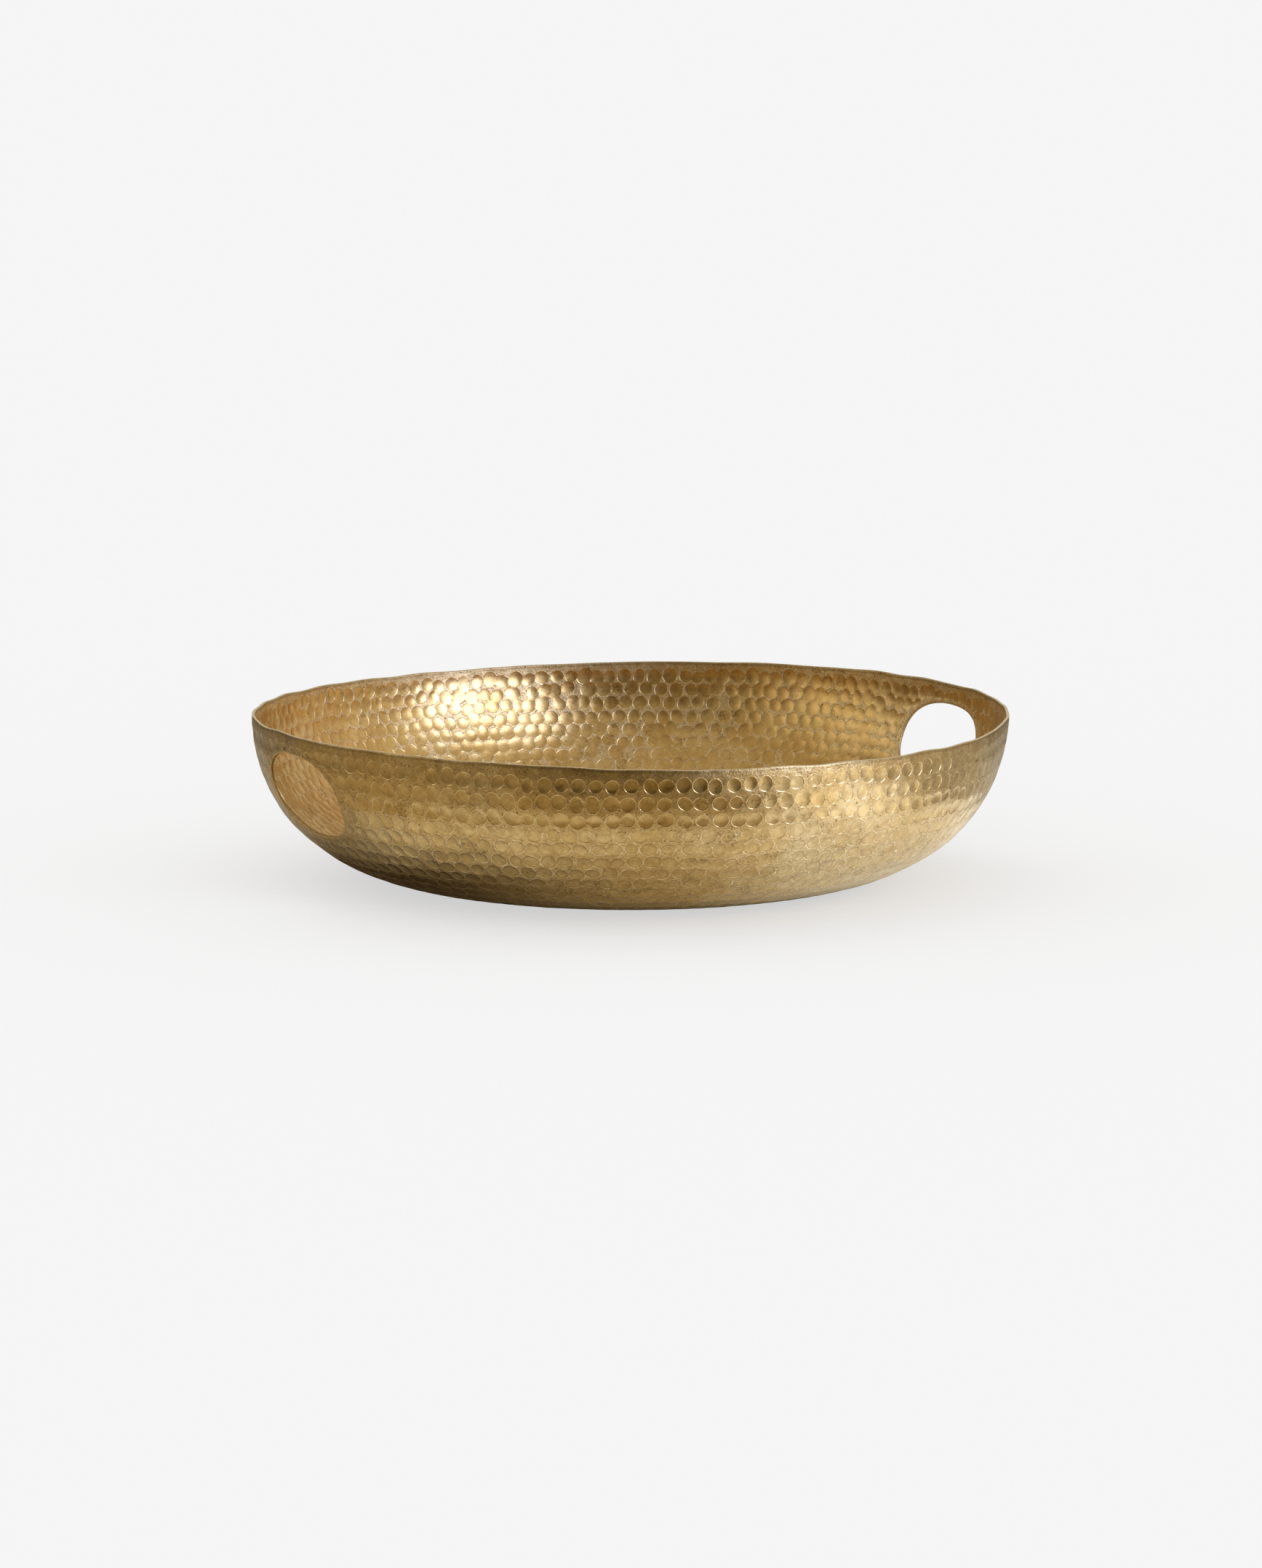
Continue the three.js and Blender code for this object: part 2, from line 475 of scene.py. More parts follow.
def join_sheet(sides, quads, triangles, border, below_rim):
    """Joins the two sides along the rim and the holes with a narrow rounded edge."""
    (outer, outer_edge), (inner, inner_edge) = sides
    count = len(outer)
    ends = np.unique(border)
    order = np.full(count, -1)
    order[ends] = np.arange(len(ends))
    middle = (outer + inner) / 2
    run = middle[border[:, 1]] - middle[border[:, 0]]
    through = (outer - inner)[border[:, 0]]
    away = np.cross(through, run)
    away /= np.linalg.norm(away, axis=1)[:, None]
    side = np.zeros((count, 3))
    np.add.at(side, border[:, 0], away)
    np.add.at(side, border[:, 1], away)
    side = side[ends]
    side /= np.linalg.norm(side, axis=1)[:, None]
    bands = []
    for step in range(1, EDGE_STEPS + 1):
        share = step / (EDGE_STEPS + 1)
        bulge = EDGE_BULGE * (1 - abs(2 * share - 1) ** 3)
        bands.append(inner[ends] * (1 - share) + outer[ends] * share + side * bulge)
    points = np.concatenate([inner, outer] + bands)

    a, b = border[:, 0], border[:, 1]
    edge_quads = []
    lower_a, lower_b = a, b
    for step in range(EDGE_STEPS + 1):
        if step < EDGE_STEPS:
            base = 2 * count + step * len(ends)
            upper_a, upper_b = base + order[a], base + order[b]
        else:
            upper_a, upper_b = count + a, count + b
        edge_quads.append(np.stack([lower_b, lower_a, upper_a, upper_b], 1))
        lower_a, lower_b = upper_a, upper_b
    all_quads = np.concatenate([quads, quads[:, ::-1] + count] + edge_quads)
    all_triangles = np.concatenate([triangles, triangles[:, ::-1] + count])

    band_points = len(ends) * EDGE_STEPS
    facts = {
        "below_rim": np.concatenate([below_rim, below_rim, np.tile(below_rim[ends], EDGE_STEPS)]) / MM,
        "mark_edge": np.concatenate([inner_edge, outer_edge, np.full(band_points, MARK_REACH / MM)]),
        "worn": np.concatenate([np.zeros(2 * count), np.ones(band_points)]),
        "inside": np.concatenate([np.ones(count), np.zeros(count), np.full(band_points, 0.5)]),
    }
    return mesh_object("tray_sheet", points, all_quads, all_triangles, facts)


def mesh_object(name, points, quads, triangles, facts):
    """A smooth mesh object from arrays, with its unused points left out."""
    used = np.zeros(len(points), bool)
    used[quads.ravel()] = True
    used[triangles.ravel()] = True
    renumber = np.cumsum(used) - 1
    points = points[used]
    loops = np.concatenate([renumber[quads].ravel(), renumber[triangles].ravel()])
    totals = np.concatenate([np.full(len(quads), 4), np.full(len(triangles), 3)])
    starts = np.concatenate([[0], np.cumsum(totals)[:-1]])
    mesh = bpy.data.meshes.new(name)
    mesh.vertices.add(len(points))
    mesh.vertices.foreach_set("co", points.astype(np.float32).ravel())
    mesh.loops.add(len(loops))
    mesh.loops.foreach_set("vertex_index", loops.astype(np.int32))
    mesh.polygons.add(len(totals))
    mesh.polygons.foreach_set("loop_start", starts.astype(np.int32))
    mesh.update(calc_edges=True)
    mesh.validate()
    mesh.polygons.foreach_set("use_smooth", np.ones(len(totals), bool))
    for key, values in facts.items():
        layer = mesh.attributes.new(key, "FLOAT", "POINT")
        layer.data.foreach_set("value", values[used].astype(np.float32))
    thing = bpy.data.objects.new(name, mesh)
    bpy.context.scene.collection.objects.link(thing)
    return thing


# ---------------------------------------------------------------- materials

class Nodes:
    """A new material's node tree, with a short way to add and join nodes."""

    def __init__(self, name):
        self.material = bpy.data.materials.new(name)
        self.material.use_nodes = True
        self.tree = self.material.node_tree
        self.shader = self.tree.nodes["Principled BSDF"]
        self.place = self.add("ShaderNodeTexCoord").outputs["Object"]

    def add(self, kind, **settings):
        node = self.tree.nodes.new(kind)
        for key, value in settings.items():
            setattr(node, key, value)
        return node

    def join(self, output, entry):
        self.tree.links.new(output, entry)

    def noise(self, size, detail=2.0, rough=0.5):
        """Noise whose features are about size metres across."""
        node = self.add("ShaderNodeTexNoise")
        node.inputs["Scale"].default_value = 1 / size
        node.inputs["Detail"].default_value = detail
        node.inputs["Roughness"].default_value = rough
        self.join(self.place, node.inputs["Vector"])
        return node.outputs["Fac"]

    def near(self, place, close, far):
        """1 within a distance of that place, fading to 0 at another."""
        node = self.add("ShaderNodeVectorMath", operation="DISTANCE")
        self.join(self.place, node.inputs[0])
        node.inputs[1].default_value = place
        return self.ramp(node.outputs["Value"], close, far, 1.0, 0.0)

    def fact(self, name):
        return self.add("ShaderNodeAttribute", attribute_name=name).outputs["Fac"]

    def ramp(self, value, low, high, to_low=0.0, to_high=1.0):
        node = self.add("ShaderNodeMapRange", clamp=True)
        self.join(value, node.inputs["Value"])
        limits = {"From Min": low, "From Max": high, "To Min": to_low, "To Max": to_high}
        for key, number in limits.items():
            node.inputs[key].default_value = number
        return node.outputs["Result"]

    def math(self, operation, a, b=0.0):
        node = self.add("ShaderNodeMath", operation=operation)
        for entry, value in zip(node.inputs, (a, b)):
            if isinstance(value, (int, float)):
                entry.default_value = value
            else:
                self.join(value, entry)
        return node.outputs["Value"]

    def mix(self, share, a, b):
        """Between two colours, each a linear (r, g, b) or another node's output."""
        node = self.add("ShaderNodeMix", data_type="RGBA")
        self.join(share, node.inputs["Factor"])
        for key, value in ((6, a), (7, b)):
            if isinstance(value, tuple):
                node.inputs[key].default_value = (*value, 1.0)
            else:
                self.join(value, node.inputs[key])
        return node.outputs[2]

    def bump(self, height, distance, strength=1.0, under=None):
        node = self.add("ShaderNodeBump")
        node.inputs["Strength"].default_value = strength
        node.inputs["Distance"].default_value = distance
        self.join(height, node.inputs["Height"])
        if under is not None:
            self.join(under, node.inputs["Normal"])
        return node.outputs["Normal"]


BRASS = (0.75, 0.58, 0.33)
BRASS_PALE = (0.80, 0.65, 0.40)
BRASS_DEEP = (0.66, 0.48, 0.23)
BRASS_DULL = (0.68, 0.50, 0.26)
HAZE = (0.74, 0.62, 0.42)
# Dark brown for grime and specks, and for the painted shade just under the rim.
PATINA_AND_SHADE = (0.13, 0.085, 0.04)
BRASS_GOLD = (0.72, 0.50, 0.20)
BRASS_DARK = (0.40, 0.26, 0.10)
BRASS_AMBER = (0.55, 0.33, 0.11)
# Pale brass for the scuffs, and for the painted highlight along each mark's raised lip.
PALE_SCUFF_AND_HIGHLIGHT = (0.92, 0.80, 0.56)
CUT_EDGE = (1.0, 0.94, 0.80)
# A painted reflection inside, on the bowl's far left: the warm coppery light the bowl throws on itself
# there. Its colour, its place, and how far from it the colour is full and where it has faded.
COPPERY_REFLECTION_COLOUR = (0.78, 0.46, 0.22)
COPPERY_REFLECTION_PLACE = (-124 * MM, 200 * MM, 25 * MM)
COPPERY_REFLECTION_CORE = 30 * MM
COPPERY_REFLECTION_REACH = 85 * MM

# How far below the rim, in mm, the outside marks turn from strong and plain to faint and outlined with
# a painted highlight and a painted shade ring, and how much of the painted highlight shows inside the
# tray, as a grey.
LOWER_ROWS = (30, 60)
INSIDE_HIGHLIGHT_SHARE = (0.42, 0.42, 0.42)


def metal(n):
    """Clouded brass in the marks, land that is dull outside and pale inside, a painted coppery
    reflection in one place inside, a drifting haze, and a golden tint in the marks inside."""
    clouds = n.noise(34 * MM, 3.0)
    drift = n.noise(70 * MM, 4.0, 0.6)
    colour = n.mix(n.ramp(clouds, 0.36, 0.64), BRASS_DEEP, BRASS)
    ground = n.mix(n.ramp(n.inside, 0, 1), BRASS_DULL, BRASS_PALE)
    grainy = n.math("MULTIPLY", n.land, n.ramp(n.fine, 0.3, 0.7, 0.35, 0.85))
    colour = n.mix(grainy, colour, ground)
    # Painted reflection: warm coppery light round one place on the inner face.
    coppery = n.near(COPPERY_REFLECTION_PLACE, COPPERY_REFLECTION_CORE, COPPERY_REFLECTION_REACH)
    colour = n.mix(n.math("MULTIPLY", coppery, n.inside), colour, COPPERY_REFLECTION_COLOUR)
    colour = n.mix(n.ramp(drift, 0.48, 0.64, 0.0, 0.6), colour, HAZE)
    golden = n.math("MULTIPLY", n.ramp(n.land, 0, 1, 0.50, 0.0), n.inside)
    return n.mix(golden, colour, BRASS_GOLD)


def tarnish(n, colour):
    """Amber patches inside, mostly in the marks, and dark blotches of two sizes on both faces."""
    amber = n.math("MULTIPLY", n.ramp(n.noise(21 * MM, 2.0), 0.47, 0.60, 0.0, 0.42), n.inside)
    amber = n.math("MULTIPLY", amber, n.ramp(n.land, 0, 1, 1.0, 0.3))
    colour = n.mix(amber, colour, BRASS_AMBER)
    blotch = n.ramp(n.noise(6.5 * MM, 3.0, 0.6), 0.42, 0.58, 0.40, 0.0)
    blotch = n.math("MULTIPLY", blotch, n.ramp(n.inside, 0, 1, 1.0, 0.45))
    colour = n.mix(blotch, colour, BRASS_DARK)
    return n.mix(n.ramp(n.fine, 0.40, 0.56, 0.32, 0.0), colour, BRASS_DARK)


def scuffs_and_painted_highlight(n, colour):
    """Fine pale scuffs, and a painted highlight along each mark's lip, which is strongest low down
    outside.
    """
    trace = n.math("ABSOLUTE", n.math("SUBTRACT", n.noise(8 * MM, 2.0, 0.55), 0.5))
    scuff = n.math("MULTIPLY", n.ramp(trace, 0.004, 0.016, 1.0, 0.0), n.ramp(n.grain, 0.42, 0.55))
    scuff = n.math("MULTIPLY", scuff, n.ramp(n.land, 0, 1, 0.25, 0.75))
    colour = n.mix(scuff, colour, PALE_SCUFF_AND_HIGHLIGHT)
    # Painted highlight: the glint along each mark's raised lip, shown in patches, grey inside the tray
    # and strongest low down outside.
    shown = n.math("MULTIPLY", n.lip, n.ramp(n.noise(7 * MM, 2.0), 0.42, 0.60))
    outline = n.mix(n.inside, n.ramp(n.below_rim, *LOWER_ROWS, 0.38, 1.0), INSIDE_HIGHLIGHT_SHARE)
    return n.mix(n.math("MULTIPLY", shown, outline), colour, PALE_SCUFF_AND_HIGHLIGHT)


def painted_flank_shade(n, colour):
    """A painted shade: a darker ring just inside each mark's outline, in the lower rows outside."""
    # Painted shade on each mark's sunken flank, stronger lower down the outside.
    ring = n.ramp(n.math("ABSOLUTE", n.math("ADD", n.edge, 0.55)), 0.15, 0.75, 1.0, 0.0)
    ring = n.math("MULTIPLY", ring, n.math("SUBTRACT", 1.0, n.inside))
    ring = n.math("MULTIPLY", ring, n.ramp(n.below_rim, *LOWER_ROWS, 0.0, 0.45))
    return n.mix(ring, colour, BRASS_DARK)


def dirt_and_rim_shade(n, colour):
    """Grime in patches, dark specks, and a dark line just under the rim that is partly grime and
    partly painted shade.
    """
    grime = n.ramp(n.noise(16 * MM, 3.0, 0.6), 0.52, 0.70)
    grime = n.math("MULTIPLY", grime, n.ramp(n.noise(1.6 * MM, 3.0, 0.7), 0.48, 0.60))
    grime = n.math("MULTIPLY", grime, n.ramp(n.inside, 0, 1, 0.7, 0.6))
    colour = n.mix(grime, colour, PATINA_AND_SHADE)
    colour = n.mix(n.specks, colour, PATINA_AND_SHADE)
    # The dark line just under the rim: partly grime, partly painted shade below the rim's edge.
    under_rim = n.ramp(n.below_rim, 0.9, 2.6, 0.45, 0.0)
    under_rim = n.math("MULTIPLY", under_rim, n.math("SUBTRACT", 1.0, n.worn))
    return n.mix(under_rim, colour, PATINA_AND_SHADE)


def cut_edge(n, colour):
    """The sheet's cut edge: bare and pale along the rim, and dark round the hand holes."""
    cut = n.mix(n.ramp(n.below_rim, 3.0, 6.0), CUT_EDGE, BRASS_DARK)
    return n.mix(n.math("MULTIPLY", n.worn, 0.85), colour, cut)


def roughness(n):
    """Least in the marks, more on the land and its specks, and more inside the tray than outside."""
    rough = n.math("ADD", n.ramp(n.land, 0, 1, 0.15, 0.27), n.ramp(n.fine, 0.3, 0.7, -0.02, 0.06))
    rough = n.math("ADD", rough, n.ramp(n.inside, 0, 1, 0.0, 0.14))
    return n.math("ADD", rough, n.math("MULTIPLY", n.specks, 0.25))


def fine_relief(n):
    """Pits, mostly in the land, and a slightly raised lip round each mark."""
    pits = n.math("MULTIPLY", n.noise(1.3 * MM, 3.0, 0.65), n.ramp(n.land, 0, 1, 0.12, 1.0))
    raised = n.math("MULTIPLY", n.lip, n.ramp(n.inside, 0, 1, 1.0, 0.45))
    return n.bump(raised, 0.08 * MM, 1.0, n.bump(pits, 0.25 * MM, 0.8))


def hammered_brass():
    """Satin brass, smoother in the marks than on the speckled land between them. What is known of a
    point is kept on n: how far it is outside the nearest mark and below the rim, in mm, and whether
    it is on the inner face or on the cut edge."""
    n = Nodes("hammered_brass")
    n.edge, n.below_rim = n.fact("mark_edge"), n.fact("below_rim")
    n.inside, n.worn = n.fact("inside"), n.fact("worn")
    n.land = n.ramp(n.edge, -0.20, 0.30)
    off_lip = n.math("ABSOLUTE", n.math("SUBTRACT", n.edge, 0.15))
    n.lip = n.ramp(off_lip, 0.10, 0.42, 1.0, 0.0)
    n.fine = n.noise(3.0 * MM, 4.0, 0.6)
    n.grain = n.noise(1.3 * MM, 3.0, 0.7)
    specks = n.math("MULTIPLY", n.ramp(n.grain, 0.52, 0.64), n.ramp(n.fine, 0.42, 0.58))
    n.specks = n.math("MULTIPLY", specks, n.ramp(n.land, 0, 1, 0.30, 0.85))

    colour = metal(n)
    for layer in (tarnish, scuffs_and_painted_highlight, painted_flank_shade, dirt_and_rim_shade, cut_edge):
        colour = layer(n, colour)
    n.join(colour, n.shader.inputs["Base Color"])
    n.join(roughness(n), n.shader.inputs["Roughness"])
    n.join(fine_relief(n), n.shader.inputs["Normal"])
    n.shader.inputs["Metallic"].default_value = 1.0
    return n.material


RUBBER = (0.018, 0.017, 0.016)
RUBBER_DUSTY = (0.035, 0.033, 0.031)


def pad_rubber():
    """Matt dark rubber with a fine moulded grain."""
    n = Nodes("pad_rubber")
    colour = n.mix(n.ramp(n.noise(2 * MM, 3.0), 0.3, 0.7), RUBBER, RUBBER_DUSTY)
    n.join(colour, n.shader.inputs["Base Color"])
    n.join(n.ramp(n.noise(1 * MM), 0.3, 0.7, 0.72, 0.9), n.shader.inputs["Roughness"])
    n.join(n.bump(n.noise(0.4 * MM), 0.05 * MM), n.shader.inputs["Normal"])
    return n.material


def plain(name, colour, rough):
    n = Nodes(name)
    n.shader.inputs["Base Color"].default_value = (*colour, 1.0)
    n.shader.inputs["Roughness"].default_value = rough
    n.shader.inputs["Specular IOR Level"].default_value = 0.0
    return n.material


# ---------------------------------------------------------------- the pads

PAD_SEGMENTS = 64
PAD_EDGE = 0.35 * MM
PAD_EDGE_STEPS = 4
PAD_DISH = 0.15 * MM
PAD_DISH_EDGE = 0.12 * MM


def pad_section(radius, low, high):
    """From the middle of the dished lower face, round both rounded edges, to the middle of the top."""
    section = [
        (0.0, low + PAD_DISH),
        (radius * 0.6, low + PAD_DISH_EDGE),
        (radius - 3 * PAD_EDGE, low),
    ]
    turns = [math.pi / 2 * step / PAD_EDGE_STEPS for step in range(PAD_EDGE_STEPS + 1)]
    for turn in turns:
        inward, up = PAD_EDGE * (1 - math.sin(turn)), PAD_EDGE * (1 - math.cos(turn))
        section.append((radius - inward, low + up))
    for turn in turns:
        inward, down = PAD_EDGE * (1 - math.cos(turn)), PAD_EDGE * (1 - math.sin(turn))
        section.append((radius - inward, high - down))
    return section + [(0.0, high)]


def turned_mesh(name, section, centre):
    """A closed smooth mesh: the section, which starts and ends on the axis, turned about it."""
    bm = bmesh.new()
    rows = []
    for r, z in section:
        count = PAD_SEGMENTS if r > 0 else 1
        angles = [TAU * k / PAD_SEGMENTS for k in range(count)]
        rows.append([
            bm.verts.new((centre.x + r * math.cos(angle), centre.y + r * math.sin(angle), z))
            for angle in angles
        ])
    for lower, upper in zip(rows, rows[1:]):
        for k in range(PAD_SEGMENTS):
            after = (k + 1) % PAD_SEGMENTS
            corners = []
            for row, place in ((lower, k), (lower, after), (upper, after), (upper, k)):
                vert = row[place % len(row)]
                if vert not in corners:
                    corners.append(vert)
            bm.faces.new(corners)
    bmesh.ops.recalc_face_normals(bm, faces=bm.faces)
    mesh = bpy.data.meshes.new(name)
    bm.to_mesh(mesh)
    bm.free()
    for polygon in mesh.polygons:
        polygon.use_smooth = True
    return mesh


def make_pad(node, material):
    """A moulded rubber disc with rounded edges and a shallow dished face, in its CAD pad's place."""
    low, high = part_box(node)
    section = pad_section((high.x - low.x) / 2, low.z, high.z)
    mesh = turned_mesh(f"{node}_moulded", section, (low + high) / 2)
    mesh.materials.append(material)
    pad = bpy.data.objects.new(f"{node}_moulded", mesh)
    bpy.context.scene.collection.objects.link(pad)
    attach(pad, "root")
    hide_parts(node)
    return pad


# ---------------------------------------------------------------- the studio

RIGHT = Vector((math.cos(VIEW_AZIMUTH), math.sin(VIEW_AZIMUTH), 0))
AWAY = Vector((-math.sin(VIEW_AZIMUTH), math.cos(VIEW_AZIMUTH), 0))


def studio(right, away, up):
    """A place in the studio: so far to the camera's right, away from the camera, and up."""
    return RIGHT * right + AWAY * away + Vector((0, 0, up))


def square(half, level):
    return [(x * half, y * half, level) for x, y in ((-1, -1), (1, -1), (1, 1), (-1, 1))]


def quad_object(name, corners, material):
    mesh = bpy.data.meshes.new(name)
    mesh.from_pydata(corners, [], [range(len(corners))])
    mesh.materials.append(material)
    thing = bpy.data.objects.new(name, mesh)
    bpy.context.scene.collection.objects.link(thing)
    return thing


def only_in_reflections(thing):
    thing.visible_camera = False
    thing.visible_diffuse = False
    thing.visible_transmission = False
    thing.visible_volume_scatter = False
    thing.visible_shadow = False


FLOOR_HALF = 40.0
AIR_COLOUR = (0.914, 0.914, 0.914)
FLOOR_COLOUR = (0.34, 0.34, 0.34)
FLOOR_GLOW = 0.604


def make_floor():
    """A pale floor that glows a little of itself, so that the tray's shadow on it stays light."""
    material = plain("pale_floor", FLOOR_COLOUR, 1.0)
    shader = material.node_tree.nodes["Principled BSDF"]
    shader.inputs["Emission Color"].default_value = (1, 1, 1, 1)
    shader.inputs["Emission Strength"].default_value = FLOOR_GLOW
    return quad_object("floor", square(FLOOR_HALF, 0), material)


def glow(name):
    """A material that only gives off light, with its own tree to add to."""
    n = Nodes(name)
    n.tree.nodes.remove(n.shader)
    n.emission = n.add("ShaderNodeEmission")
    n.emission.inputs["Strength"].default_value = 1.0
    output = next(node for node in n.tree.nodes if node.type == "OUTPUT_MATERIAL")
    n.join(n.emission.outputs[0], output.inputs["Surface"])
    return n


def toward(n, direction, low, high):
    """How far the point lies in that direction from the axis: 0 at low and 1 at high."""
    dot = n.add("ShaderNodeVectorMath", operation="DOT_PRODUCT")
    n.join(n.place, dot.inputs[0])
    dot.inputs[1].default_value = direction
    node = n.add("ShaderNodeMapRange", clamp=True, interpolation_type="SMOOTHSTEP")
    n.join(dot.outputs["Value"], node.inputs["Value"])
    for key, number in (("From Min", low), ("From Max", high), ("To Min", 0.0), ("To Max", 1.0)):
        node.inputs[key].default_value = number
    return node.outputs["Result"]


# The studio's colours, as linear light. Those of the dome come first.
WARM_DARK = (0.20, 0.15, 0.065)
MID_GLOW = (0.54, 0.45, 0.29)
COOL_BACK = (0.39, 0.365, 0.31)
PALE_BACK = (0.56, 0.54, 0.49)
WARM_BACK = (0.62, 0.52, 0.35)
LEFT_GLOW = (0.50, 0.43, 0.29)
LEFT_STRIP = (1.22, 1.08, 0.78)
RIGHT_GLOW = (0.80, 0.72, 0.54)
DARK_BAND = (0.045, 0.03, 0.013)

# Those of the table, going outwards from under the tray.
TABLE_UNDER = (0.03, 0.02, 0.01)
TABLE_SHADE_LEFT = (0.04, 0.025, 0.01)
TABLE_SHADE = (0.42, 0.33, 0.18)
TABLE_SHADE_KEY = (0.78, 0.72, 0.58)
TABLE_RING = (0.76, 0.68, 0.50)
TABLE_RING_LEFT = (0.36, 0.30, 0.20)
TABLE_RING_KEY = (1.20, 1.17, 1.06)
TABLE_NEAR = (0.47, 0.355, 0.17)
TABLE_MIDDLE = (0.27, 0.195, 0.08)
TABLE_FAR = (0.105, 0.072, 0.020)
TABLE_NEAR_LEFT = (0.52, 0.41, 0.22)
TABLE_FAR_LEFT = (0.31, 0.235, 0.12)
TABLE_FAR_KEY = (0.54, 0.48, 0.37)
TABLE_FAR_BACK = (0.20, 0.17, 0.12)
TABLE_BEAM = (1.48, 1.42, 1.24)

TABLE_HALF = 8.0
TABLE_LIFT = 0.5 * MM
TABLE_EDGE = 0.300
DOME_RADIUS = 9.0

# The key light, a softbox low on the camera's right.
KEY_PLACE = (1.79, -1.37, 0.86)
KEY_TARGET = (0, 0, 0.08)
KEY_WIDTH = 1.05
KEY_HEIGHT = 1.60
KEY_POWER = 26.0
KEY_COLOUR = (0.88, 0.96, 1.30)


def make_table():
    """The table top as the brass sees it: in its own shadow close to the tray, bright just beyond,
    and dark past its front edge. The side toward the key light is the brighter."""
    n = glow("lit_table")
    reach = n.add("ShaderNodeVectorMath", operation="LENGTH")
    n.join(n.place, reach.inputs[0])
    far = reach.outputs["Value"]
    flat = n.add("ShaderNodeVectorMath", operation="NORMALIZE")
    n.join(n.place, flat.inputs[0])
    n.place = flat.outputs["Vector"]
    from_key = toward(n, RIGHT, 0.10, 0.78)
    beam = n.math("SUBTRACT", toward(n, RIGHT, 0.42, 0.74), toward(n, RIGHT, 0.84, 0.99))
    lit = n.ramp(far, 0.198, 0.262)
    past = n.ramp(far, TABLE_EDGE, TABLE_EDGE + 0.02)
    shade = n.mix(toward(n, RIGHT, -0.80, 0.30), TABLE_SHADE_LEFT, TABLE_SHADE)
    shade = n.mix(from_key, shade, TABLE_SHADE_KEY)
    ring = n.mix(toward(n, -RIGHT, 0.70, 0.98), TABLE_RING, TABLE_RING_LEFT)
    ring = n.mix(from_key, ring, TABLE_RING_KEY)
    beyond = n.mix(n.ramp(far, 0.31, 0.46), TABLE_NEAR, TABLE_MIDDLE)
    beyond = n.mix(n.ramp(far, 0.56, 0.62), beyond, TABLE_FAR)
    leftward = n.mix(n.ramp(far, 0.34, 0.58), TABLE_NEAR_LEFT, TABLE_FAR_LEFT)
    beyond = n.mix(toward(n, -RIGHT, 0.15, 0.65), beyond, leftward)
    beyond = n.mix(from_key, beyond, TABLE_FAR_KEY)
    beam = n.math("MULTIPLY", beam, n.ramp(far, 0.40, 0.80, 1.0, 0.52))
    beyond = n.mix(beam, beyond, TABLE_BEAM)
    core = n.ramp(far, 0.150, 0.185)
    shade = n.mix(core, TABLE_UNDER, shade)
    colour = n.mix(past, n.mix(lit, shade, ring), beyond)
    back = n.mix(toward(n, RIGHT, -0.2, 0.2), COOL_BACK, PALE_BACK)
    back = n.mix(toward(n, AWAY, 0.72, 0.97), back, WARM_BACK)
    back = n.mix(n.ramp(far, 0.45, 0.75), back, TABLE_FAR_BACK)
    colour = n.mix(toward(n, AWAY, 0.05, 0.55), colour, back)
    n.join(colour, n.emission.inputs["Color"])
    table = quad_object("lit_table", square(TABLE_HALF, TABLE_LIFT), n.material)
    only_in_reflections(table)
    return table


def make_dome():
    """The studio's walls and ceiling, which only reflections see: a dark band low down, brighter
    overhead, behind and to the right, with one bright strip on the left."""
    n = glow("studio_dome")
    r = DOME_RADIUS
    up = Vector((0, 0, 1))
    colour = n.mix(toward(n, up, 0.10 * r, 0.26 * r), DARK_BAND, WARM_DARK)
    colour = n.mix(toward(n, -RIGHT, 0.38 * r, 0.80 * r), colour, LEFT_GLOW)
    strip_starts = toward(n, -RIGHT, 0.74 * r, 0.82 * r)
    strip_ends = toward(n, -RIGHT, 0.92 * r, 0.98 * r)
    colour = n.mix(n.math("SUBTRACT", strip_starts, strip_ends), colour, LEFT_STRIP)
    colour = n.mix(toward(n, up, 0.30 * r, 0.85 * r), colour, MID_GLOW)
    back = n.mix(toward(n, RIGHT, -0.2 * r, 0.2 * r), COOL_BACK, PALE_BACK)
    back = n.mix(toward(n, AWAY, 0.72 * r, 0.97 * r), back, WARM_BACK)
    colour = n.mix(toward(n, AWAY, 0.05 * r, 0.7 * r), colour, back)
    colour = n.mix(toward(n, up, 0.02 * r, 0.14 * r), DARK_BAND, colour)
    colour = n.mix(toward(n, RIGHT, 0.05 * r, 0.9 * r), colour, RIGHT_GLOW)
    n.join(colour, n.emission.inputs["Color"])
    mesh = bpy.data.meshes.new("studio_dome")
    bm = bmesh.new()
    bmesh.ops.create_uvsphere(bm, u_segments=48, v_segments=24, radius=DOME_RADIUS)
    bmesh.ops.reverse_faces(bm, faces=bm.faces)
    bm.to_mesh(mesh)
    bm.free()
    mesh.materials.append(n.material)
    dome = bpy.data.objects.new("studio_dome", mesh)
    bpy.context.scene.collection.objects.link(dome)
    only_in_reflections(dome)
    return dome


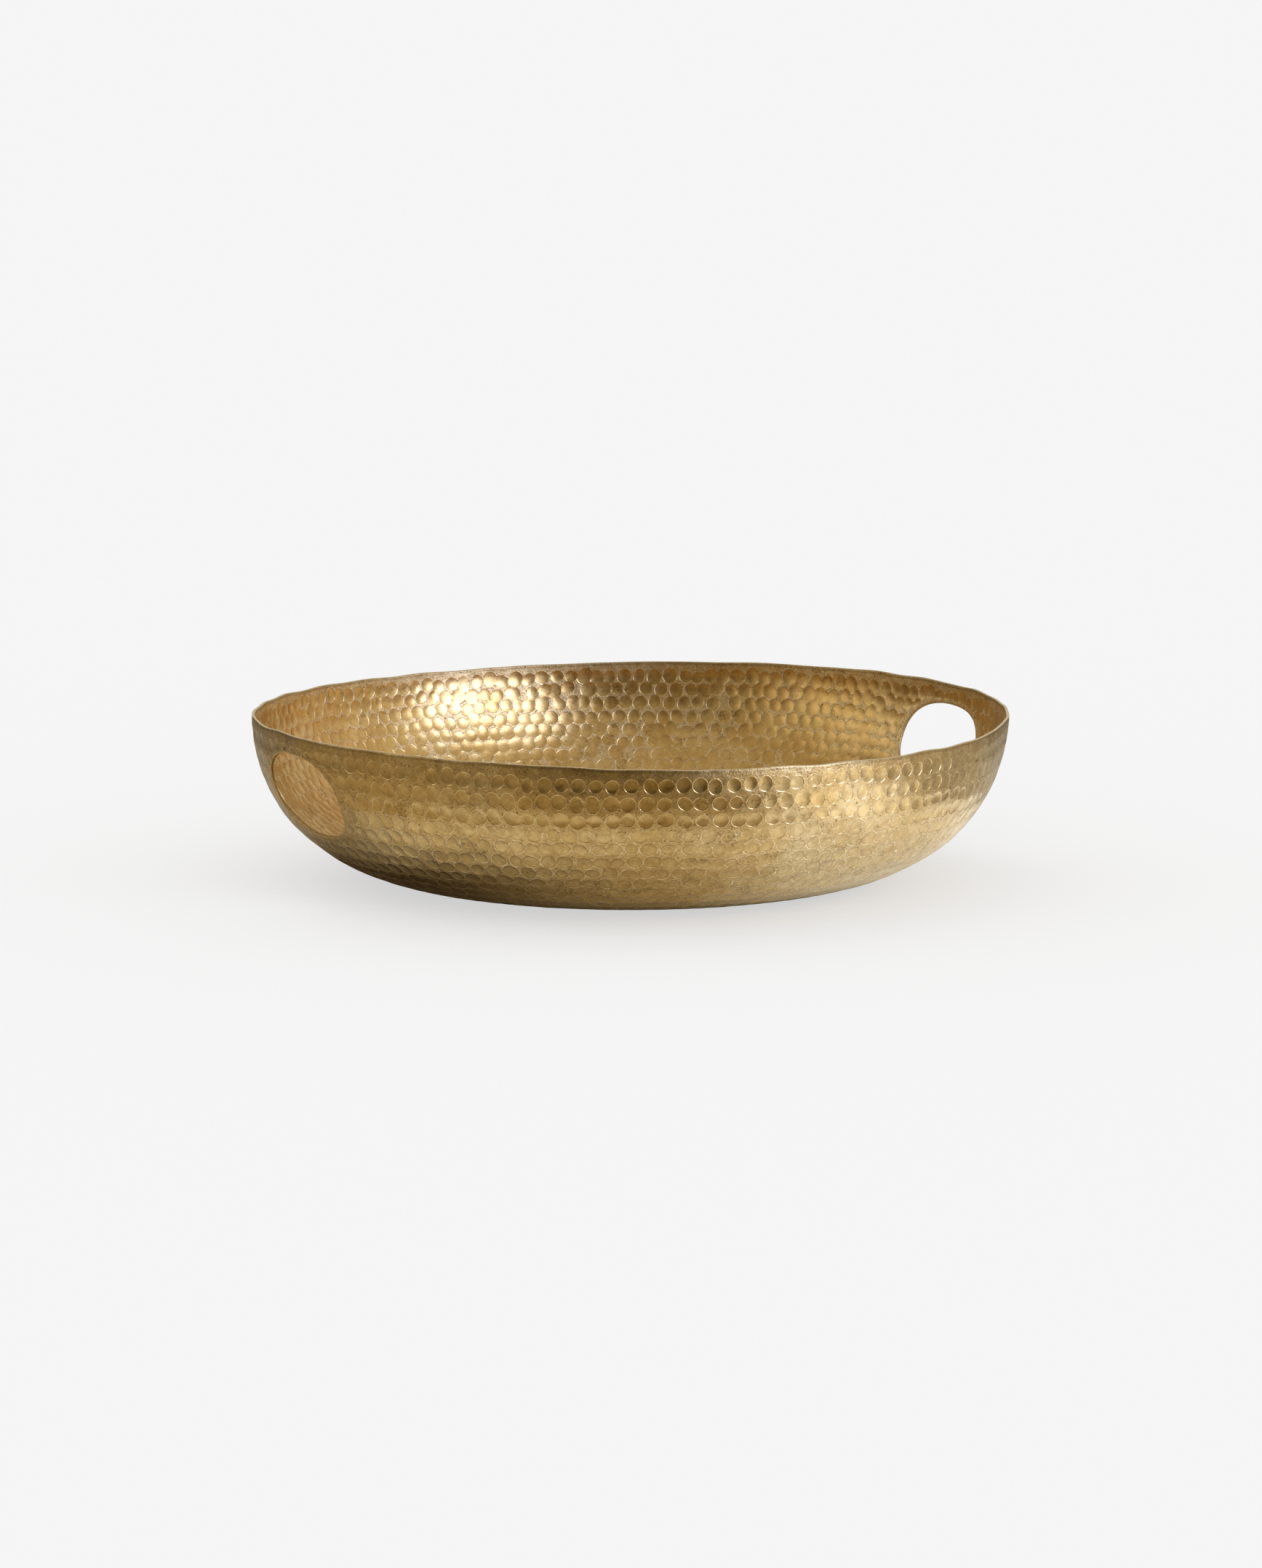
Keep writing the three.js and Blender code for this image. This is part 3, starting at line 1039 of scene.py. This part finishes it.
def make_key_light(receivers):
    """The one lamp, which lights only the sheet. Its own image in the brass is the bright patch."""
    light = bpy.data.lights.new("key_light", "AREA")
    light.shape = "RECTANGLE"
    light.size, light.size_y = KEY_WIDTH, KEY_HEIGHT
    light.energy = KEY_POWER
    light.color = KEY_COLOUR
    light.cycles.max_bounces = 0
    lamp = bpy.data.objects.new("key_light", light)
    bpy.context.scene.collection.objects.link(lamp)
    lamp.location = studio(*KEY_PLACE)
    lamp.rotation_mode = "QUATERNION"
    lamp.rotation_quaternion = (Vector(KEY_TARGET) - lamp.location).to_track_quat("-Z", "Y")
    lamp.light_linking.receiver_collection = receivers


def make_world():
    world = bpy.data.worlds.new("studio_air")
    world.use_nodes = True
    background = world.node_tree.nodes["Background"]
    background.inputs["Color"].default_value = (*AIR_COLOUR, 1.0)
    background.inputs["Strength"].default_value = 1.0
    bpy.context.scene.world = world


def make_camera():
    data = bpy.data.cameras.new("camera")
    data.sensor_width = VIEW_SENSOR
    data.lens = VIEW_LENS
    data.clip_end = 100.0
    camera = bpy.data.objects.new("camera", data)
    bpy.context.scene.collection.objects.link(camera)
    target = studio(VIEW_TARGET_RIGHT, 0, VIEW_TARGET_LEVEL)
    flat = VIEW_DISTANCE * math.cos(VIEW_ELEVATION)
    camera.location = target - AWAY * flat + Vector((0, 0, VIEW_DISTANCE * math.sin(VIEW_ELEVATION)))
    camera.rotation_mode = "QUATERNION"
    camera.rotation_quaternion = (target - camera.location).to_track_quat("-Z", "Y")
    bpy.context.scene.camera = camera


# ---------------------------------------------------------------- the scene

bpy.context.scene.view_settings.view_transform = "Standard"

sheet = make_sheet()
sheet.data.materials.append(hammered_brass())
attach(sheet, "root")
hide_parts("tray_shell")

rubber = pad_rubber()
pads = [make_pad(node, rubber) for node in sorted(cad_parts) if node.startswith("base_pad")]

lit_by_key = bpy.data.collections.new("lit_by_key")
bpy.context.scene.collection.children.link(lit_by_key)
lit_by_key.objects.link(sheet)

make_world()
make_floor()
make_table()
make_dome()
make_key_light(lit_by_key)
make_camera()
